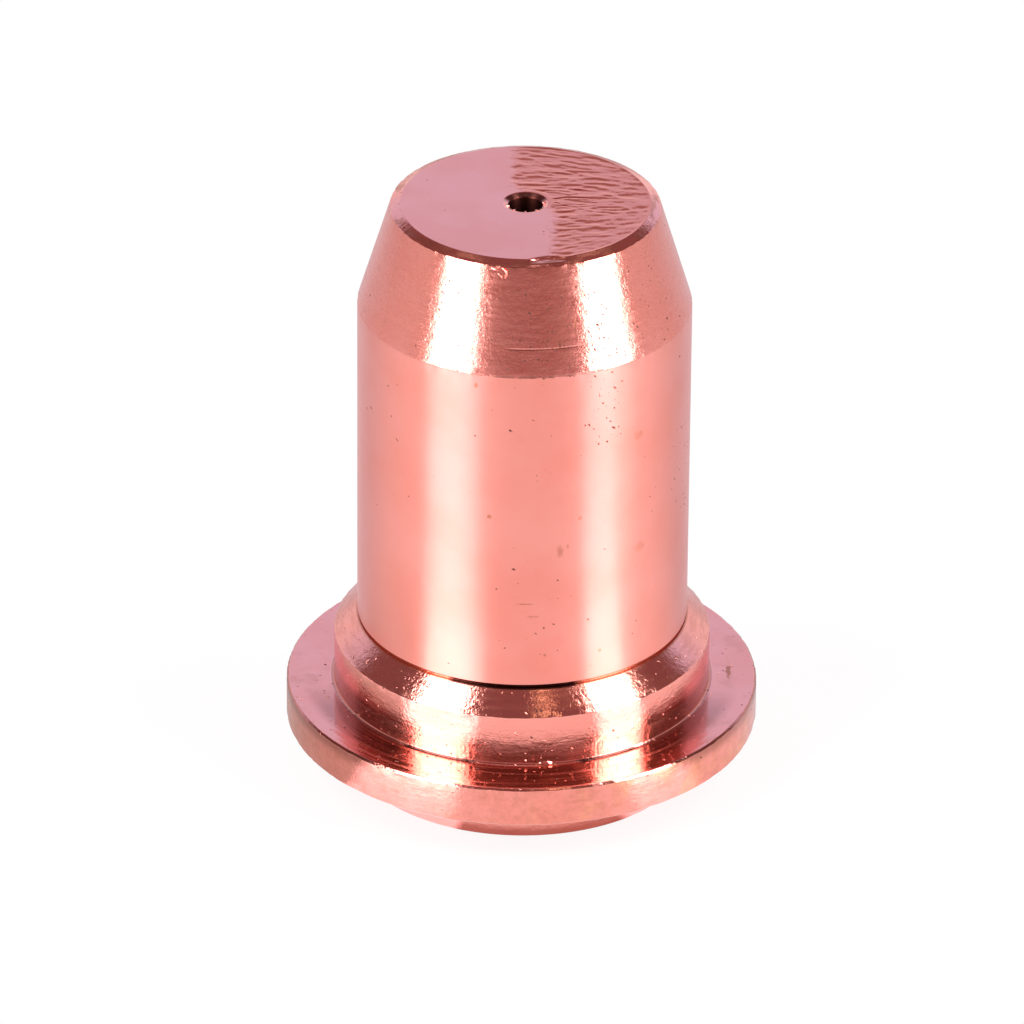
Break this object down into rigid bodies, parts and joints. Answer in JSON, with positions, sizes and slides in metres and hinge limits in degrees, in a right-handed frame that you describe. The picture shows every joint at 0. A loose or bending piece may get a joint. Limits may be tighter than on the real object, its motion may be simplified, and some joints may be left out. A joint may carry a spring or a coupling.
{
  "type": "plasma torch nozzle",
  "caption": "Turned copper nozzle with a rear spigot, a flange, a stepped collar, a straight barrel and a short tapered nose; hollow from the rear, with a fine orifice through its flat face.",
  "frame": {"origin": "centre of the spigot's flat rear face", "axes": "+Z along the turning axis, from the rear spigot to the orifice; +X and +Y are any two directions across it, because the nozzle is round"},
  "size_m": [0.0142, 0.0142, 0.0187],
  "materials": {
    "copper": "bare turned copper, bright and slightly scuffed"
  },
  "bodies": {
    "root": {"nozzle": "copper"}
  },
  "joints": []
}
